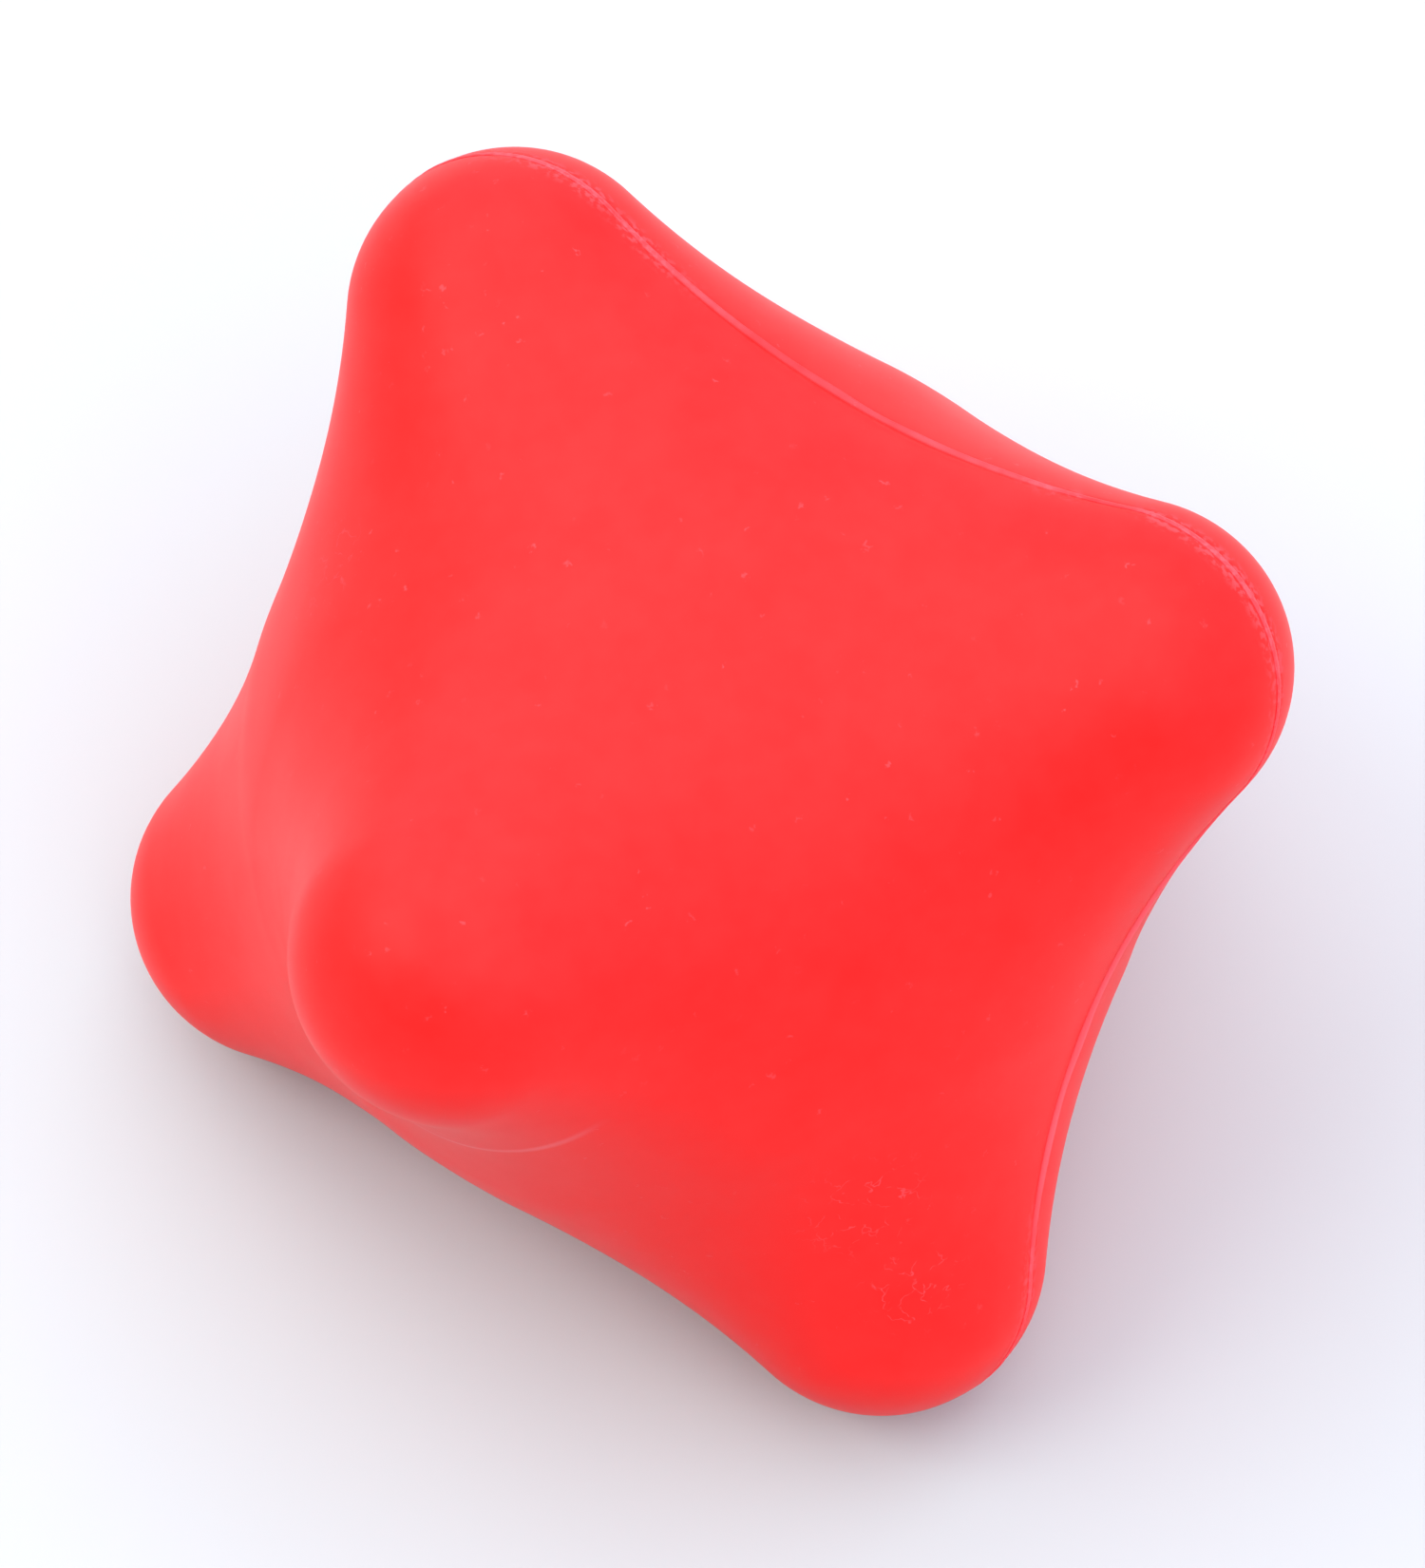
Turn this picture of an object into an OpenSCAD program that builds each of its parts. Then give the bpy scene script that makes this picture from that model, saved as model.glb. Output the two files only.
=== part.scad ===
// Friction ball for opening screw-back watch cases: a solid rubber ball with six round lobes.
// It is moulded in two halves, which are cured together at a parting plane that runs through
// four of the lobes, and a thin line of flash stands along that joint. The ball stands on
// three of its lobes, on the floor at Z = 0.

/* [Ball] */
// Distance from the centre to a lobe's tip, half of the ball's size from tip to tip
lobe_reach = 34; // [32:0.5:38]
// Radius of a lobe's round end
lobe_r = 8.4; // [7:0.1:10]
// Distance from the centre to the middle of the saddle between two neighbouring lobes
waist_r = 23.4; // [22:0.1:24]
// Gap left under the middle of a three-lobed face when the ball stands on that face
face_gap = 0.15; // [0.05:0.05:0.5]

/* [Parting line] */
// Thickness of the flash, measured across the joint
flash_t = 0.4; // [0.2:0.05:0.8]
// How far the flash stands proud of the ball
flash_proud = 0.25; // [0.1:0.05:0.5]
// How deep the root of the flash reaches into the joint
flash_root = 0.8; // [0.4:0.1:2]

/* [Detail] */
// Grid cells across one lobe, a multiple of 6
cells = 24; // [12:6:36]

/* [Hidden] */

rubber_red = [0.93, 0.07, 0.07];
flash_red = [0.95, 0.2, 0.22];

// A lobe is a sphere of radius lobe_r around a point this far out on its axis.
lobe_centre = lobe_reach - lobe_r;
// Radius of the arc that joins two neighbouring lobes, tangent to both and to the waist.
saddle_r = (pow(lobe_r, 2) - pow(waist_r, 2) - pow(lobe_centre, 2) + sqrt(2) * lobe_centre * waist_r)
         / (2 * waist_r - sqrt(2) * lobe_centre - 2 * lobe_r);
// Distance of that arc's centre from the ball's centre, on the line midway between two lobes.
saddle_reach = waist_r + saddle_r;
// Angle from a lobe's axis at which its round end runs into the saddle arc.
blend_share = lobe_r / (lobe_r + saddle_r);
blend_angle = atan2(blend_share * saddle_reach / sqrt(2),
                    lobe_centre + blend_share * (saddle_reach / sqrt(2) - lobe_centre));

// Height of the centre when the ball stands on three lobes, and the tilt that sets it so.
stand_h = lobe_centre / sqrt(3) + lobe_r;
stand_tilt = acos(1 / sqrt(3));
// How far the middle of a three-lobed face lies inside the waist's sphere.
face_drop = max(0, waist_r - stand_h + face_gap);
// How sharply that flattening gathers towards the middle of the face.
face_power = 3;

// Distance from the centre to the surface, at an angle from the nearest lobe's axis.
function tip_radius(a) =
    lobe_centre * cos(a) + sqrt(pow(lobe_r, 2) - pow(lobe_centre * sin(a), 2));
function saddle_radius(a) =
    let (along = saddle_reach * cos(45 - a))
    along - sqrt(pow(saddle_r, 2) - pow(saddle_reach, 2) + pow(along, 2));
function lobe_profile(a) = a < blend_angle ? tip_radius(a) : a < 45 ? saddle_radius(a) : waist_r;

// 1 in the middle of a three-lobed face, and 0 all along the great circles through four lobes.
function face_share(d) = 27 * pow(d.x * d.y * d.z, 2);

// The surface in a direction, on a ball whose lobes lie on the X, Y and Z axes.
function surface_radius(d) =
    lobe_profile(acos(min(1, max(abs(d.x), abs(d.y), abs(d.z)))))
    - face_drop * pow(face_share(d), face_power);
function surface_point(v) = let (d = v / norm(v)) d * surface_radius(d);

// A lobe's patch has a square grid. Its lines run closer together near the tip, where the
// surface curves most, and two of them cross at each point where the lobe can meet the floor.
contact_slope = lobe_r / (sqrt(3) * lobe_centre + lobe_r);
grid_ease = (27 * contact_slope - 1) / 8;
function spread(t) = t * (grid_ease + (1 - grid_ease) * t * t);
function grid_line(i) = spread(2 * i / cells - 1);
function quarter_turn(p, times) =
    times == 0 ? p : quarter_turn([-p.y, p.x, p.z], times - 1);

// Outline of the ball in the parting plane, moved outwards by a distance, and raised to z.
function outline_point(v, grow) =
    let (d = v / norm(v)) [d.x, d.y] * (surface_radius(d) + grow);
function outline(grow) = [for (k = [0 : 3], i = [0 : cells - 1])
    outline_point(quarter_turn([1, grid_line(i), 0], k), grow)];
function raised(points, z) = [for (p = points) [p.x, p.y, z]];

// A half's skin stops short of the parting plane, where the flash comes out of the joint.
function skin_point(v) =
    v.z == 0 ? raised([outline_point(v, 0)], flash_t / 2)[0] : surface_point(v);

// Grid points of the front lobe's patch, and of the upper half of the patch on side k.
top_points = [for (j = [0 : cells], i = [0 : cells])
    skin_point([grid_line(i), grid_line(j), 1])];
function side_points(k) = [for (j = [cells / 2 : cells], i = [0 : cells])
    skin_point(quarter_turn([1, grid_line(i), grid_line(j)], k))];

// The underside: its centre, then the foot of the rebate's wall, the wall's top and the rim.
under_points = [[0, 0, 0],
                each raised(outline(-flash_root), 0),
                each raised(outline(-flash_root), flash_t / 2),
                each raised(outline(0), flash_t / 2)];
half_points = [each under_points, each top_points, for (k = [0 : 3]) each side_points(k)];

// Where each set of points starts in that list.
around = 4 * cells;
side_rows = cells / 2;
function ring_first(ring) = 1 + ring * around;
top_first = ring_first(3);
function side_first(k) = top_first + pow(cells + 1, 2) + k * (side_rows + 1) * (cells + 1);

// Two triangles for each cell of a grid or of the band between two rings, and a flat fan.
function grid_faces(first, rows) = [for (j = [0 : rows - 1], i = [0 : cells - 1])
    let (a = first + j * (cells + 1) + i, b = a + cells + 1)
    each [[a, b, a + 1], [a + 1, b, b + 1]]];
function band_faces(first) = [for (i = [0 : around - 1])
    let (a = first + i, a2 = first + (i + 1) % around)
    each [[a, a + around, a2], [a2, a + around, a2 + around]]];
function fan_faces(first) = [for (i = [0 : around - 1])
    [0, first + i, first + (i + 1) % around]];
half_faces = [each fan_faces(ring_first(0)),
              each band_faces(ring_first(0)),
              each band_faces(ring_first(1)),
              each grid_faces(top_first, cells),
              for (k = [0 : 3]) each grid_faces(side_first(k), side_rows)];

// Stands the ball on three lobes, with the front half's own lobe raised towards -Y.
module stand() {
    translate([0, 0, stand_h]) rotate([stand_tilt, 0, 0]) rotate([0, 0, 45]) children();
}

module flash_ring() {
    linear_extrude(flash_t, center = true) difference() {
        polygon(outline(flash_proud));
        polygon(outline(-flash_root));
    }
}

// The half of the ball above the parting plane, with a rebate for its side of the flash.
module half_ball() {
    polyhedron(half_points, half_faces, convexity = 6);
}

module front_half() {
    color(rubber_red) stand() half_ball();
}

module rear_half() {
    color(rubber_red) stand() mirror([0, 0, 1]) half_ball();
}

module parting_flash() {
    color(flash_red) stand() flash_ring();
}

front_half();
rear_half();
parting_flash();
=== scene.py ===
"""Friction ball for opening watch cases: the red rubber looks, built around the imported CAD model.

The ball is one rubber moulding with six round lobes, moulded in two halves. Each half and the
flash that stands along their joint is a piece of its own, made here as a fine mesh from the
same driving dimensions as the CAD, with the small faults that a real moulding has.
"""

import math

import bmesh
import bpy
import numpy as np
from mathutils import Matrix, Vector, noise


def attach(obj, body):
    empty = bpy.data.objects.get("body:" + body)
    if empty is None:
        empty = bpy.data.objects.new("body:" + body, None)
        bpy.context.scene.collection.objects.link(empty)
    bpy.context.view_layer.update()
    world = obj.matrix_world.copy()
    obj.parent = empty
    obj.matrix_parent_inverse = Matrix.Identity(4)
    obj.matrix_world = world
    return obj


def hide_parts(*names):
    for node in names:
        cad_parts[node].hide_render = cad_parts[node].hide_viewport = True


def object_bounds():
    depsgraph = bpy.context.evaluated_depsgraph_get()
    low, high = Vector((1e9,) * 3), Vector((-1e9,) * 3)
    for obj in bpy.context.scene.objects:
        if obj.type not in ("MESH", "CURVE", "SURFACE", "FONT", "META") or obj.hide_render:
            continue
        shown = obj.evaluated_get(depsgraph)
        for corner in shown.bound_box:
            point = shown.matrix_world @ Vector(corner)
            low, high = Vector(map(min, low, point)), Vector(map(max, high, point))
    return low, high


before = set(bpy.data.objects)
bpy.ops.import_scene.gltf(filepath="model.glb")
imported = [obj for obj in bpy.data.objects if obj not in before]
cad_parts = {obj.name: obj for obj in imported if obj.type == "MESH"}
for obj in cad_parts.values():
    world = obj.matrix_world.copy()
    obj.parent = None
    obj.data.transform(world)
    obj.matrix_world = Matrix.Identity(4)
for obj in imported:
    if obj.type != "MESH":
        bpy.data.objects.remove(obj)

MM = 0.001

# ---------------------------------------------------------------- driving dimensions

# The ball, as in the CAD: a lobe's tip, its round end, the saddle between two lobes, and the
# gap under the middle of the three-lobed face on which the ball stands.
LOBE_REACH = 34 * MM
LOBE_R = 8.4 * MM
WAIST_R = 23.4 * MM
FACE_GAP = 0.15 * MM
FACE_POWER = 3

# The flash, as in the CAD: thickness across the joint, height above the ball, depth of its root.
FLASH_T = 0.4 * MM
FLASH_PROUD = 0.25 * MM
FLASH_ROOT = 0.8 * MM

# Faults of the moulding, in the ball's radius: long waves and short ones, with their pitch in
# waves per ball radius.
WAVE_LONG = 0.06 * MM
WAVE_LONG_PITCH = 3.0
WAVE_SHORT = 0.004 * MM
WAVE_SHORT_PITCH = 9.0

# Beside the joint: the skin turns in, and a second low lip runs along parts of the front half.
# Its pitch is in waves per ball radius, and its ends are steeper the higher LIP_ENDS is.
NEAR_JOINT = 3 * MM
SLIDE_FADE = 0.4 * MM
GROOVE_DEPTH = 0.06 * MM
GROOVE_WIDTH = 0.12 * MM
LIP_AT = 0.7 * MM
LIP_WIDTH = 0.2 * MM
LIP_HEIGHT = 0.045 * MM
LIP_PITCH = 2.0
LIP_ENDS = 3

# The flash's crest wanders sideways and in height, with a pitch in waves per ball radius. It
# stands up in the saddles, and on the lobes it is worn down and nicked. The wear grows with
# the way from the saddle to the lobe's tip, times WEAR_RISE and less WEAR_START.
CREST_SHIFT = 0.06 * MM
CREST_PITCH = 6.0
CREST_IN_SADDLE = 0.75
CREST_ON_LOBE = 0.2
CREST_LEAST = 0.08
CREST_WANDER = 0.5
WEAR_RISE = 2
WEAR_START = 0.4
WEAR_NICKS = 0.35
NICKS_PER_WAVE = 12

# Heights at which the flat noise of the lip and of the crest's sideways wander is read, so
# that the two don't follow each other.
LIP_NOISE_Z = 7
SHIFT_NOISE_Z = 3

# Mesh fineness: grid cells across a lobe, rows from the joint to the top of a side, stations
# along the flash, points across its crest. Corners closer than WELD are one.
CELLS = 120
SIDE_ROWS = 80
FLASH_STATIONS = 1440
CREST_POINTS = 9
WELD = 1e-7
SHARP_FROM = math.radians(50)

# Where the CAD stands the ball: its centre is half-way up its box, and its box rests on Z = 0.
CAD_BOX = [list(corner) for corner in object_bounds()]
FLOOR_Z = CAD_BOX[0][2]
CENTRE = Vector((0, 0, (CAD_BOX[0][2] + CAD_BOX[1][2]) / 2))

# Ball axes to row axes: the front half's lobe, +Z in ball axes, leans towards -Y and up.
STAND_TILT = math.acos(1 / math.sqrt(3))
STAND = (
    Matrix.Translation(CENTRE)
    @ Matrix.Rotation(STAND_TILT, 4, "X")
    @ Matrix.Rotation(math.radians(45), 4, "Z")
)

# ---------------------------------------------------------------- the ball's surface

LOBE_CENTRE = LOBE_REACH - LOBE_R
SADDLE_R = (
    LOBE_R**2 - WAIST_R**2 - LOBE_CENTRE**2 + math.sqrt(2) * LOBE_CENTRE * WAIST_R
) / (2 * WAIST_R - math.sqrt(2) * LOBE_CENTRE - 2 * LOBE_R)
SADDLE_REACH = WAIST_R + SADDLE_R
BLEND_SHARE = LOBE_R / (LOBE_R + SADDLE_R)
BLEND_ANGLE = math.atan2(
    BLEND_SHARE * SADDLE_REACH / math.sqrt(2),
    LOBE_CENTRE + BLEND_SHARE * (SADDLE_REACH / math.sqrt(2) - LOBE_CENTRE),
)
STAND_H = LOBE_CENTRE / math.sqrt(3) + LOBE_R
FACE_DROP = max(0.0, WAIST_R - STAND_H + FACE_GAP)


def surface_radius(directions):
    """Distance from the ball's centre to its surface, along unit directions in ball axes.

    The hollow of the three-lobed faces is full where all three parts of a direction are equal,
    where 27 times the product of their squares is 1.
    """
    angle = np.arccos(np.clip(np.abs(directions).max(1), 0, 1))
    inside = np.maximum(0, LOBE_R**2 - (LOBE_CENTRE * np.sin(angle)) ** 2)
    tip = LOBE_CENTRE * np.cos(angle) + np.sqrt(inside)
    along = SADDLE_REACH * np.cos(math.pi / 4 - angle)
    saddle = along - np.sqrt(SADDLE_R**2 - SADDLE_REACH**2 + along**2)
    radius = np.where(angle < math.pi / 4, saddle, WAIST_R)
    radius = np.where(angle < BLEND_ANGLE, tip, radius)
    face_share = 27 * np.prod(directions**2, axis=1)
    return radius - FACE_DROP * face_share**FACE_POWER


def unit(vectors):
    return vectors / np.linalg.norm(vectors, axis=1, keepdims=True)


# ---------------------------------------------------------------- the two halves

# Share of even spacing in the grid: across a lobe, and up a side patch from the joint, where
# the rows run close together so that the edge of the joint has its own shape.
LOBE_EASE = 0.41
JOINT_EASE = 0.12


def lobe_lines(count):
    t = np.linspace(-1, 1, count + 1)
    return t * (LOBE_EASE + (1 - LOBE_EASE) * t * t)


def joint_rows(count):
    t = np.linspace(0, 1, count + 1)
    return t * (JOINT_EASE + (1 - JOINT_EASE) * t)


def turned(points, quarters):
    """Points turned about ball +Z by whole quarter turns, with no rounding."""
    for _ in range(quarters):
        points = np.stack([-points[:, 1], points[:, 0], points[:, 2]], 1)
    return points


def grid_directions(rows, columns, patch):
    """Row by row, the unit directions of a grid. patch is top, or a side's number 0 to 3."""
    v, u = np.meshgrid(rows, columns, indexing="ij")
    u, v = u.ravel(), v.ravel()
    if patch == "top":
        return unit(np.stack([u, v, np.ones_like(u)], 1))
    return unit(turned(np.stack([np.ones_like(u), u, v], 1), patch))


def add_grid(mesh, points, rows, columns):
    """Adds a grid of quads to a bmesh, and returns its vertices, row by row."""
    verts = [mesh.verts.new(p) for p in points]
    for j in range(rows):
        for i in range(columns):
            a = j * (columns + 1) + i
            b = a + columns + 1
            mesh.faces.new((verts[a], verts[a + 1], verts[b + 1], verts[b]))
    return verts


def wavy(directions):
    """Radial fault of the real moulding along unit directions: a few hundredths of a millimetre."""
    return np.array(
        [
            WAVE_LONG * noise.noise(Vector(d) * WAVE_LONG_PITCH)
            + WAVE_SHORT * noise.noise(Vector(d) * WAVE_SHORT_PITCH)
            for d in directions
        ]
    )


def skin_radius(directions):
    return surface_radius(directions) + wavy(directions)


def joint_groove(height):
    """How far the skin turns in beside the flash, at a height above the joint."""
    return GROOVE_DEPTH * np.exp(-(height - FLASH_T / 2) / GROOVE_WIDTH)


def second_lip(directions, height):
    """A low ridge beside the joint on the front half, where the flash was trimmed twice."""
    places = [Vector((d[0], d[1], LIP_NOISE_Z)) * LIP_PITCH for d in directions]
    present = np.clip(np.array([noise.noise(place) for place in places]) * LIP_ENDS, 0, 1)
    across = (height - LIP_AT) / LIP_WIDTH
    return LIP_HEIGHT * present * np.exp(-(across**2))


def half_skin(directions, side):
    """Skin points of a half in ball axes. side is 1 in front of the joint and -1 behind it.

    The wall beside the joint is all but upright, so its points slide up it to clear the flash.
    """
    directions = directions * (1, 1, side)
    radius = skin_radius(directions)
    height = np.abs(directions[:, 2]) * radius
    height += FLASH_T / 2 * np.exp(-height / SLIDE_FADE)
    near = height < NEAR_JOINT
    radius[near] -= joint_groove(height[near])
    if side > 0:
        radius[near] += second_lip(directions[near], height[near])
    points = directions * radius[:, None]
    points[near, 2] = side * height[near]
    return points


def half_mesh(name, side):
    """One half of the ball, with a shallow rebate around its flat side for the flash."""
    mesh = bmesh.new()
    columns = lobe_lines(CELLS)
    top = grid_directions(columns, columns, "top")
    add_grid(mesh, half_skin(top, side), CELLS, CELLS)
    rows = joint_rows(SIDE_ROWS)
    rim = []
    for patch in range(4):
        directions = grid_directions(rows, columns, patch)
        verts = add_grid(mesh, half_skin(directions, side), SIDE_ROWS, CELLS)
        rim += verts[:CELLS]
    wall_top = [inset(mesh, v, side * FLASH_T / 2) for v in rim]
    wall_foot = [inset(mesh, v, 0) for v in rim]
    centre = mesh.verts.new((0, 0, 0))
    for i in range(len(rim)):
        n = (i + 1) % len(rim)
        mesh.faces.new((rim[n], rim[i], wall_top[i], wall_top[n]))
        mesh.faces.new((wall_top[n], wall_top[i], wall_foot[i], wall_foot[n]))
        mesh.faces.new((wall_foot[n], wall_foot[i], centre))
    bmesh.ops.remove_doubles(mesh, verts=mesh.verts, dist=WELD)
    bmesh.ops.transform(mesh, matrix=STAND, verts=mesh.verts)
    bmesh.ops.recalc_face_normals(mesh, faces=mesh.faces)
    return finished(name, mesh)


def inset(mesh, rim_vertex, z):
    """A point of the rebate's wall, inwards from a vertex of the rim."""
    x, y = rim_vertex.co.xy
    keep = 1 - (FLASH_ROOT - GROOVE_DEPTH) / math.hypot(x, y)
    return mesh.verts.new((x * keep, y * keep, z))


def finished(name, mesh):
    """The object of a bmesh, smooth shaded, with its flat inner faces kept flat."""
    data = bpy.data.meshes.new(name)
    mesh.to_mesh(data)
    mesh.free()
    piece = bpy.data.objects.new(name, data)
    bpy.context.scene.collection.objects.link(piece)
    data.shade_smooth()
    data.set_sharp_from_angle(angle=SHARP_FROM)
    return piece


# ---------------------------------------------------------------- the flash


def flash_section(height, shift):
    """Cross-section of the flash as (outwards, across) pairs: a square root, a bell's crest."""
    half = FLASH_T / 2
    crest = []
    for i in range(CREST_POINTS):
        a = math.pi * i / (CREST_POINTS - 1)
        rise = math.sin(a) ** 2
        crest.append((height * rise, half * math.cos(a) + shift * rise))
    return [(-FLASH_ROOT, half), *crest, (-FLASH_ROOT, -half)]


def crest_share(direction, radius):
    """Height of the flash at a place, as a share of its full height."""
    towards_tip = (radius - WAIST_R) / (LOBE_REACH - WAIST_R)
    worn = min(1.0, max(0.0, WEAR_RISE * towards_tip - WEAR_START))
    mean = CREST_IN_SADDLE + (CREST_ON_LOBE - CREST_IN_SADDLE) * worn
    wander = noise.noise(Vector(direction) * CREST_PITCH)
    nicks = noise.noise(Vector(direction) * CREST_PITCH * NICKS_PER_WAVE)
    share = mean * (1 + CREST_WANDER * wander + WEAR_NICKS * worn * nicks)
    return min(1.0, max(CREST_LEAST, share))


def flash_mesh(name):
    """The flash as a closed ring that follows the outline of the joint."""
    mesh = bmesh.new()
    rings = []
    for i in range(FLASH_STATIONS):
        a = 2 * math.pi * i / FLASH_STATIONS
        d = np.array([[math.cos(a), math.sin(a), 0.0]])
        r = float(skin_radius(d)[0])
        height = FLASH_PROUD * crest_share(d[0], r)
        x, y = d[0, :2]
        shift = CREST_SHIFT * noise.noise(Vector((x, y, SHIFT_NOISE_Z)) * CREST_PITCH)
        ring = [
            mesh.verts.new((x * (r + out), y * (r + out), across))
            for out, across in flash_section(height, shift)
        ]
        rings.append(ring)
    for ring, following in zip(rings, rings[1:] + rings[:1]):
        for k in range(len(ring)):
            n = (k + 1) % len(ring)
            mesh.faces.new((ring[k], ring[n], following[n], following[k]))
    bmesh.ops.transform(mesh, matrix=STAND, verts=mesh.verts)
    bmesh.ops.recalc_face_normals(mesh, faces=mesh.faces)
    return finished(name, mesh)


# ---------------------------------------------------------------- materials

# Rubber colours, as linear light.
RED = (0.95, 0.0152, 0.0130)
RED_PALE = (0.95, 0.0208, 0.0180)
# A pale red for dust, scratches and nicks, also used for the painted highlights.
RED_MARK_AND_HIGHLIGHT = (0.95, 0.14, 0.155)
# The flash's two reds are paler than the ball's: a painted highlight that makes the seam read as a
# bright line.
FLASH_RED = (0.95, 0.028, 0.030)
FLASH_PALE = (0.95, 0.066, 0.074)

# Rubber gloss: a satin skin, duller where it is scratched or torn.
SPECULAR = 0.1
ROUGH_LOW = 0.39
ROUGH_HIGH = 0.41
ROUGH_SCUFFED = 0.6

# Noise seldom leaves these levels, so a full range of colour or gloss is spread over them.
NOISE_LOW = 0.3
NOISE_HIGH = 0.7

# The skin's detail, in millimetres: mottling with finer flecks in it, gloss that changes from
# place to place, a soft ripple, fine grain, and how far marks stand up or go in.
MOTTLE_PITCH = 6.0
MOTTLE_DETAIL = 3.0
FLECK_PITCH = 1.3
FLECK_SHARE = 0.4
GLOSS_PITCH = 3.6
PEEL_PITCH = 1.8
PEEL_HEIGHT = 0.001
GRAIN_PITCH = 0.18
GRAIN_HEIGHT = 0.0010
SPECK_HEIGHT = 0.006
SCRATCH_HEIGHT = 0.006

# Dust specks: a share of the cells of a cell pattern hold one, and a larger share in the dusty
# places. A speck fades out from DUST_CORE of its radius, and the faintest has DUST_FAINTEST of
# the full strength. Curls bend what is drawn by this reach, with this pitch.
DUST_PITCH = 0.9
DUST_SHARE = 0.3
DUST_SHARE_DUSTY = 0.9
DUST_LEAST = 0.08
DUST_MOST = 0.22
DUST_CORE = 0.3
DUST_FAINTEST = 0.15
DUST_CURL = 0.9
DUST_CURL_PITCH = 0.27

# Curly scratches: the edges of a cell pattern, cut into pieces by noise between two levels.
SCRATCH_PITCH = 1.3
SCRATCH_WIDTH = 0.07
SCRATCH_CORE = 0.3
SCRATCH_CURL = 1.2
SCRATCH_CURL_PITCH = 0.78
SCRATCH_PIECE = 0.8
SCRATCH_PIECE_LEVELS = (0.48, 0.58)

# The nicks that trimming the flash has left beside the joint: noise between two levels, in
# stretches, out to NICK_REACH from the joint's plane, and on the lobes only, from one distance
# off the front lobe's axis and in full from another.
NICK_PITCH = 0.35
NICK_LEVELS = (0.47, 0.6)
NICK_STRETCH = 6.0
NICK_STRETCH_LEVELS = (0.35, 0.5)
NICK_REACH = 1.3
NICK_CORE = 0.3
NICKS_FROM = 25.0
NICKS_FULL = 29.0

# A fine moulding line at the front lobe's foot, an arc as seen along the lobe's axis: its
# centre, radius and width, the direction of its middle, and the cosines of the angles from
# there at which it is strong and at which it ends. Its paleness is a painted highlight on a
# low ridge.
FOOT_LINE_CENTRE = (-0.9, 4.0)
FOOT_LINE_R = 14.7
FOOT_LINE_WIDTH = 0.24
FOOT_LINE_HEIGHT = 0.01
FOOT_LINE_MIDDLE = math.radians(-101)
FOOT_LINE_STRONG = math.cos(math.radians(8))
FOOT_LINE_END = math.cos(math.radians(29))

# How far each kind of mark, and each painted highlight, pales the rubber, as a share of the way to
# the pale red of marks and painted highlights.
DUST_PALE = 0.27
SCRATCH_PALE = 0.35
NICK_PALE = 0.36
FOOT_LINE_HIGHLIGHT = 0.6
SEAM_HIGHLIGHT_PALE = 0.7

# Places on the ball, in ball axes, and how far each reaches, in millimetres. What is there is
# at its full strength out to this share of that.
PLACE_CORE = 0.4
SCRATCHED_PLACES = (((7.0, -20.5, 11.0), 4.5), ((5.6, -26.0, 7.2), 3.6), ((-6.5, 17.0, 12.0), 4.0))
DUSTY_PLACES = (((1.5, 29.0, 7.0), 9.0), ((-5.8, 19.0, 13.0), 7.0), ((-2.0, -18.5, 14.0), 7.0))
# A painted highlight on the flash around one saddle of the joint: a paler stretch that makes the
# seam read as a bright line there.
SEAM_HIGHLIGHT_PLACES = (((16.5, -16.5, 0.0), 17.0),)


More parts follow.
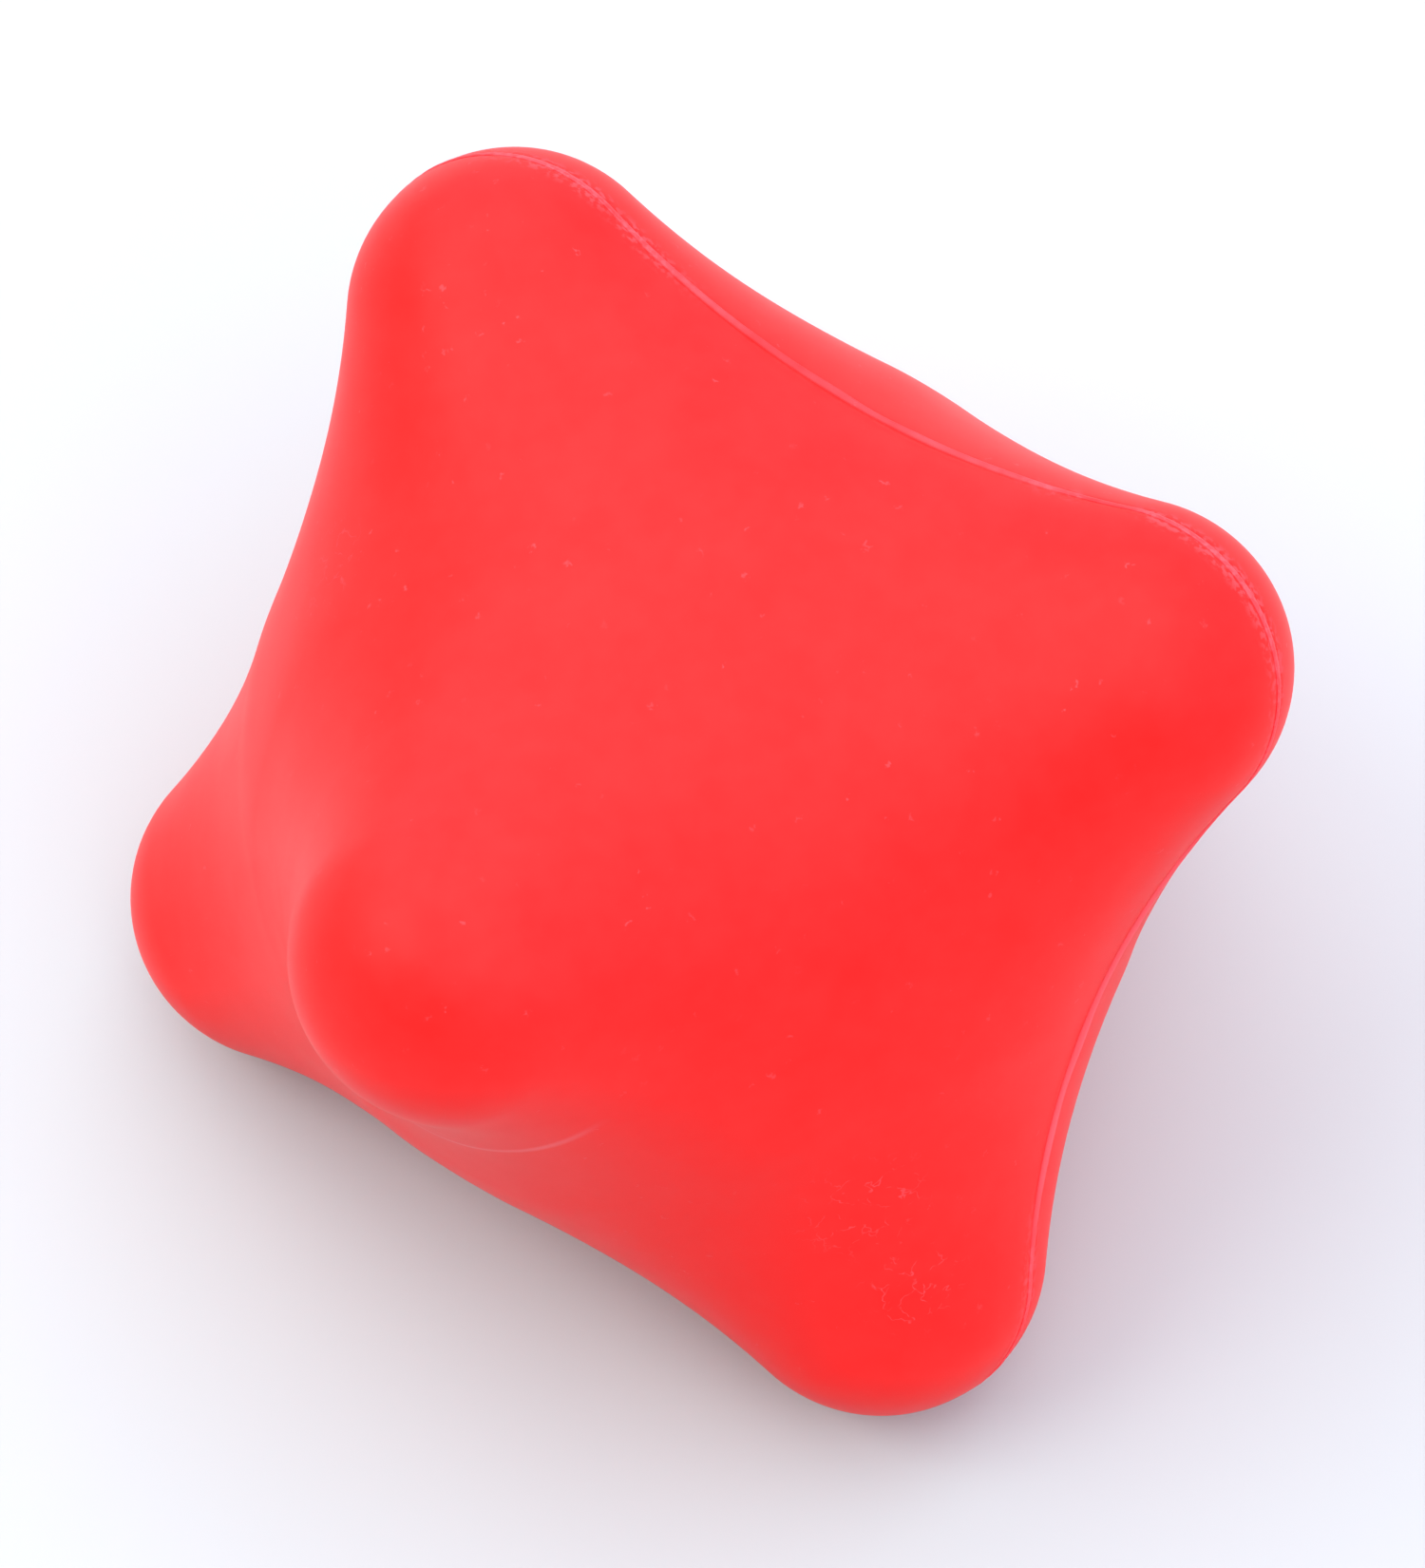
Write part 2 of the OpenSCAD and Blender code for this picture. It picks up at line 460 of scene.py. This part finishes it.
class Nodes:
    """Builds a material's shader nodes, each joined to the values or sockets it is given."""

    def __init__(self, name):
        self.material = bpy.data.materials.new(name)
        self.material.use_nodes = True
        self.tree = self.material.node_tree
        self.shader = self.tree.nodes["Principled BSDF"]

    def set(self, socket, value):
        if isinstance(value, bpy.types.NodeSocket):
            self.tree.links.new(value, socket)
        elif value is not None:
            socket.default_value = value

    def add(self, kind, *values, **settings):
        node = self.tree.nodes.new(kind)
        for key, value in settings.items():
            setattr(node, key, value)
        for socket, value in zip(node.inputs, values):
            self.set(socket, value)
        return node

    def math(self, operation, *values):
        return self.add("ShaderNodeMath", *values, operation=operation).outputs[0]

    def product(self, *values):
        result = values[0]
        for value in values[1:]:
            result = self.math("MULTIPLY", result, value)
        return result

    def vector(self, operation, *values):
        return self.add("ShaderNodeVectorMath", *values, operation=operation)

    def noise(self, place, pitch, detail=2.0):
        """A noise node with a pitch in millimetres: outputs 0 to 1, and a colour."""
        node = self.add("ShaderNodeTexNoise")
        self.set(node.inputs["Vector"], place)
        self.set(node.inputs["Scale"], 1 / pitch)
        self.set(node.inputs["Detail"], detail)
        return node

    def level(self, place, pitch, low, high, detail=2.0):
        """Noise as a smooth step, 0 below low and 1 above high."""
        return self.between(self.noise(place, pitch, detail).outputs[0], low, high)

    def between(self, value, low, high, out_low=0.0, out_high=1.0):
        """A smooth step of a value, from out_low at low to out_high at high."""
        node = self.add("ShaderNodeMapRange", interpolation_type="SMOOTHSTEP")
        for name, number in zip(
            ("Value", "From Min", "From Max", "To Min", "To Max"),
            (value, low, high, out_low, out_high),
        ):
            self.set(node.inputs[name], number)
        return node.outputs[0]

    def blend(self, share, first, second):
        node = self.add("ShaderNodeMix", data_type="RGBA")
        self.set(node.inputs[0], share)
        self.set(node.inputs[6], (*first, 1) if isinstance(first, tuple) else first)
        self.set(node.inputs[7], (*second, 1) if isinstance(second, tuple) else second)
        return node.outputs[2]

    def ball_place(self):
        """The place on the ball in millimetres, in ball axes, as a vector and as X, Y and Z."""
        here = self.add("ShaderNodeTexCoord").outputs["Object"]
        from_centre = self.vector("SUBTRACT", here, tuple(CENTRE)).outputs[0]
        turn = STAND.to_3x3()
        parts = [
            self.vector("DOT_PRODUCT", from_centre, tuple(turn.col[i] / MM)).outputs["Value"]
            for i in range(3)
        ]
        return self.add("ShaderNodeCombineXYZ", *parts).outputs[0], parts

    def bumped(self, height):
        """A normal from a height in millimetres."""
        node = self.add("ShaderNodeBump")
        self.set(node.inputs["Strength"], 1.0)
        self.set(node.inputs["Distance"], MM)
        self.set(node.inputs["Height"], height)
        return node.outputs[0]


def in_places(n, place, places):
    """1 in the middle of each of some places on the ball, and 0 outside them."""
    result = 0.0
    for centre, reach in places:
        away = n.vector("DISTANCE", place, centre).outputs["Value"]
        result = n.math("MAXIMUM", result, n.between(away, reach, reach * PLACE_CORE))
    return result


def bent(n, place, pitch, reach):
    """The place moved about by noise, so that what is drawn from it is not regular."""
    push = n.vector("SCALE", n.noise(place, pitch).outputs["Color"])
    push.inputs["Scale"].default_value = reach
    return n.vector("ADD", place, push.outputs[0]).outputs[0]


def dust(n, place):
    """Pale specks of many sizes: each near the middle of its own cell of a cell pattern."""
    cells = n.add("ShaderNodeTexVoronoi")
    n.set(cells.inputs["Vector"], bent(n, place, DUST_CURL_PITCH, DUST_CURL))
    n.set(cells.inputs["Scale"], 1 / DUST_PITCH)
    chance, strength, size = n.add("ShaderNodeSeparateColor", cells.outputs["Color"]).outputs
    marked = in_places(n, place, DUSTY_PLACES)
    share = n.between(marked, 0.0, 1.0, DUST_SHARE, DUST_SHARE_DUSTY)
    radius = n.between(size, 0.0, 1.0, DUST_LEAST / DUST_PITCH, DUST_MOST / DUST_PITCH)
    near = n.between(cells.outputs["Distance"], radius, n.product(radius, DUST_CORE))
    strength = n.between(strength, 0.0, 1.0, DUST_FAINTEST, 1.0)
    return n.product(n.math("LESS_THAN", chance, share), near, strength)


def scratches(n, place):
    """Fine curly scratches, broken into short pieces, in a few places."""
    cells = n.add("ShaderNodeTexVoronoi", feature="DISTANCE_TO_EDGE")
    n.set(cells.inputs["Vector"], bent(n, place, SCRATCH_CURL_PITCH, SCRATCH_CURL))
    n.set(cells.inputs["Scale"], 1 / SCRATCH_PITCH)
    half = SCRATCH_WIDTH / SCRATCH_PITCH / 2
    line = n.between(cells.outputs["Distance"], half, half * SCRATCH_CORE)
    broken = n.level(place, SCRATCH_PIECE, *SCRATCH_PIECE_LEVELS)
    return n.product(line, broken, in_places(n, place, SCRATCHED_PLACES))


def trimming_nicks(n, place, parts):
    """Torn skin beside the joint, on the lobes only."""
    x, y, z = parts
    off_axis = n.math("SQRT", n.math("ADD", n.product(x, x), n.product(y, y)))
    on_lobe = n.between(off_axis, NICKS_FROM, NICKS_FULL)
    beside = n.between(n.math("ABSOLUTE", z), NICK_REACH, NICK_REACH * NICK_CORE)
    torn = n.level(place, NICK_PITCH, *NICK_LEVELS)
    stretches = n.level(place, NICK_STRETCH, *NICK_STRETCH_LEVELS)
    return n.product(on_lobe, beside, torn, stretches)


def foot_line(n, parts):
    """The fine moulding line at the foot of the front lobe: a low ridge, and a painted highlight
    along it.
    """
    x = n.math("SUBTRACT", parts[0], FOOT_LINE_CENTRE[0])
    y = n.math("SUBTRACT", parts[1], FOOT_LINE_CENTRE[1])
    from_centre = n.math("SQRT", n.math("ADD", n.product(x, x), n.product(y, y)))
    away = n.math("ABSOLUTE", n.math("SUBTRACT", from_centre, FOOT_LINE_R))
    line = n.between(away, FOOT_LINE_WIDTH, 0.0)
    along = n.math(
        "ADD", n.product(x, math.cos(FOOT_LINE_MIDDLE)), n.product(y, math.sin(FOOT_LINE_MIDDLE))
    )
    along = n.math("DIVIDE", along, from_centre)
    stretch = n.between(along, FOOT_LINE_END, FOOT_LINE_STRONG)
    return n.product(line, stretch, n.math("GREATER_THAN", parts[2], 0.0))


def rubber_material(name, base, pale, seam_highlight_places=()):
    """Mottled satin rubber between two reds, with every kind of mark that the ball has, a painted
    highlight along the foot line, and painted highlights in the places given.
    """
    n = Nodes(name)
    place, parts = n.ball_place()
    mottle = n.level(place, MOTTLE_PITCH, NOISE_LOW, NOISE_HIGH, MOTTLE_DETAIL)
    flecks = n.level(place, FLECK_PITCH, NOISE_LOW, NOISE_HIGH, MOTTLE_DETAIL)
    mottle = n.math("MULTIPLY_ADD", n.math("SUBTRACT", flecks, mottle), FLECK_SHARE, mottle)
    specks = dust(n, place)
    curls = scratches(n, place)
    nicks = trimming_nicks(n, place, parts)
    scratched = n.math("MAXIMUM", curls, nicks)
    line = foot_line(n, parts)
    # Painted highlight in the places given, paling the rubber.
    marked = n.product(in_places(n, place, seam_highlight_places), SEAM_HIGHLIGHT_PALE)
    marks = (
        (specks, DUST_PALE),
        (curls, SCRATCH_PALE),
        (nicks, NICK_PALE),
        # The foot line's paleness is a painted highlight.
        (line, FOOT_LINE_HIGHLIGHT),
    )
    for mark, share in marks:
        marked = n.math("MAXIMUM", marked, n.product(mark, share))
    # The rubber pales towards one red for dust, scratches, nicks and the painted highlights.
    colour = n.blend(marked, n.blend(mottle, base, pale), RED_MARK_AND_HIGHLIGHT)
    rough = n.noise(place, GLOSS_PITCH).outputs[0]
    rough = n.between(rough, NOISE_LOW, NOISE_HIGH, ROUGH_LOW, ROUGH_HIGH)
    rough = n.math("ADD", rough, n.product(scratched, ROUGH_SCUFFED - ROUGH_HIGH))
    heights = (
        (n.noise(place, PEEL_PITCH).outputs[0], PEEL_HEIGHT),
        (n.noise(place, GRAIN_PITCH).outputs[0], GRAIN_HEIGHT),
        (specks, SPECK_HEIGHT),
        (scratched, -SCRATCH_HEIGHT),
        (line, FOOT_LINE_HEIGHT),
    )
    height = 0.0
    for pattern, scale in heights:
        height = n.math("ADD", height, n.product(pattern, scale))
    n.set(n.shader.inputs["Base Color"], colour)
    n.set(n.shader.inputs["Roughness"], rough)
    n.set(n.shader.inputs["Specular IOR Level"], SPECULAR)
    n.set(n.shader.inputs["Normal"], n.bumped(height))
    return n.material


# ---------------------------------------------------------------- stage

FLOOR_SIDE = 4.0
FLOOR_WHITE = (0.50, 0.53, 0.49)
FLOOR_ROUGH = 0.9
LAMP_DISTANCE = 1.0


def floor_piece():
    bpy.ops.mesh.primitive_plane_add(size=FLOOR_SIDE, location=(0, 0, FLOOR_Z))
    floor = bpy.context.object
    floor.name = "floor"
    n = Nodes("floor_white")
    n.set(n.shader.inputs["Base Color"], (*FLOOR_WHITE, 1))
    n.set(n.shader.inputs["Roughness"], FLOOR_ROUGH)
    n.set(n.shader.inputs["Specular IOR Level"], 0.0)
    floor.data.materials.append(n.material)


def direction_from(azimuth, elevation):
    """The unit vector from the ball towards a viewer, with azimuth 0 in front, at -Y."""
    az, el = math.radians(azimuth), math.radians(elevation)
    return Vector((math.sin(az) * math.cos(el), -math.cos(az) * math.cos(el), math.sin(el)))


def softbox(name, azimuth, elevation, half_angle, power):
    """A round softbox that faces the ball, with its size given as seen from the ball."""
    light = bpy.data.lights.new(name, "AREA")
    light.shape = "DISK"
    light.size = 2 * LAMP_DISTANCE * math.tan(math.radians(half_angle))
    light.energy = power
    lamp = bpy.data.objects.new(name, light)
    bpy.context.scene.collection.objects.link(lamp)
    away = direction_from(azimuth, elevation)
    lamp.location = CENTRE + away * LAMP_DISTANCE
    lamp.rotation_euler = away.to_track_quat("Z", "Y").to_euler()


def studio():
    """A wide softbox overhead, one behind it, two on the left and two weaker on the right."""
    softbox("overhead", 0, 90, 42, 5.0)
    softbox("overhead_back", 200, 68, 30, 3.3)
    softbox("left", -90, 35, 28, 3.9)
    softbox("left_front", -45, 45, 20, 4.6)
    softbox("right", 95, 40, 26, 0.9)
    softbox("right_front", 55, 60, 20, 2.1)


# The room is white overhead and behind the ball, and dark on the photographer's side. The
# change from dark to white is along this direction, between these two heights along it.
ROOM_BRIGHT_SIDE = Vector((0.25, 0.65, 0.72)).normalized()
ROOM_DARK_BELOW = 0.02
ROOM_WHITE_ABOVE = 0.14
ROOM_COLOUR = (0.97, 1.0, 1.4, 1)
ROOM_STRENGTH = 1.07


def room():
    """The surroundings: a smooth change of brightness along one direction."""
    world = bpy.data.worlds.new("room")
    bpy.context.scene.world = world
    world.use_nodes = True
    tree = world.node_tree
    coordinate = tree.nodes.new("ShaderNodeTexCoord")
    along = tree.nodes.new("ShaderNodeVectorMath")
    along.operation = "DOT_PRODUCT"
    along.inputs[1].default_value = ROOM_BRIGHT_SIDE
    share = tree.nodes.new("ShaderNodeMapRange")
    share.interpolation_type = "SMOOTHSTEP"
    share.inputs["From Min"].default_value = ROOM_DARK_BELOW
    share.inputs["From Max"].default_value = ROOM_WHITE_ABOVE
    share.inputs["To Max"].default_value = ROOM_STRENGTH
    background = tree.nodes["Background"]
    background.inputs["Color"].default_value = ROOM_COLOUR
    tree.links.new(coordinate.outputs["Generated"], along.inputs[0])
    tree.links.new(along.outputs["Value"], share.inputs["Value"])
    tree.links.new(share.outputs["Result"], background.inputs["Strength"])


# ---------------------------------------------------------------- camera

# A long lens, far off, looks down on the three-lobed face from the front and the right.
VIEW_AZIMUTH = 33.5
VIEW_ELEVATION = 61.6
VIEW_ROLL = 0.26
VIEW_DISTANCE = 17.3 * LOBE_REACH
LENS_MM = 268.2
SENSOR_MM = 36
CLIP_NEAR = 0.01
CLIP_FAR = 20
# The view's middle lies this far from the ball's centre, to the right and upwards.
AIM_RIGHT = 0.02 * LOBE_REACH
AIM_UP = 0.0025 * LOBE_REACH


def camera():
    data = bpy.data.cameras.new("camera")
    data.lens = LENS_MM
    data.sensor_width = SENSOR_MM
    data.clip_start = CLIP_NEAR
    data.clip_end = CLIP_FAR
    shot = bpy.data.objects.new("camera", data)
    bpy.context.scene.collection.objects.link(shot)
    back = direction_from(VIEW_AZIMUTH, VIEW_ELEVATION)
    level = back.to_track_quat("Z", "Y").to_matrix().to_4x4()
    turn = level @ Matrix.Rotation(math.radians(VIEW_ROLL), 4, "Z")
    aim = CENTRE + turn.to_3x3() @ Vector((AIM_RIGHT, AIM_UP, 0))
    shot.matrix_world = Matrix.Translation(aim + back * VIEW_DISTANCE) @ turn
    bpy.context.scene.camera = shot


# ---------------------------------------------------------------- assembly


def place(piece, node, slot, material):
    """Gives a piece its material, hangs it from the root body, and hides the CAD part named by
    node; slot is not used.
    """
    piece.data.materials.append(material)
    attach(piece, "root")
    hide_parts(node)


def build():
    rubber = rubber_material("red_rubber", RED, RED_PALE)
    # The flash's rubber carries a painted highlight around one saddle of the joint.
    flash_rubber = rubber_material("flash_rubber", FLASH_RED, FLASH_PALE, SEAM_HIGHLIGHT_PLACES)
    place(half_mesh("ball_front", 1), "front_half", "red_rubber", rubber)
    place(half_mesh("ball_rear", -1), "rear_half", "red_rubber", rubber)
    place(flash_mesh("ball_flash"), "parting_flash", "flash_rubber", flash_rubber)


build()
floor_piece()
studio()
room()
camera()
bpy.context.scene.view_settings.view_transform = "Standard"
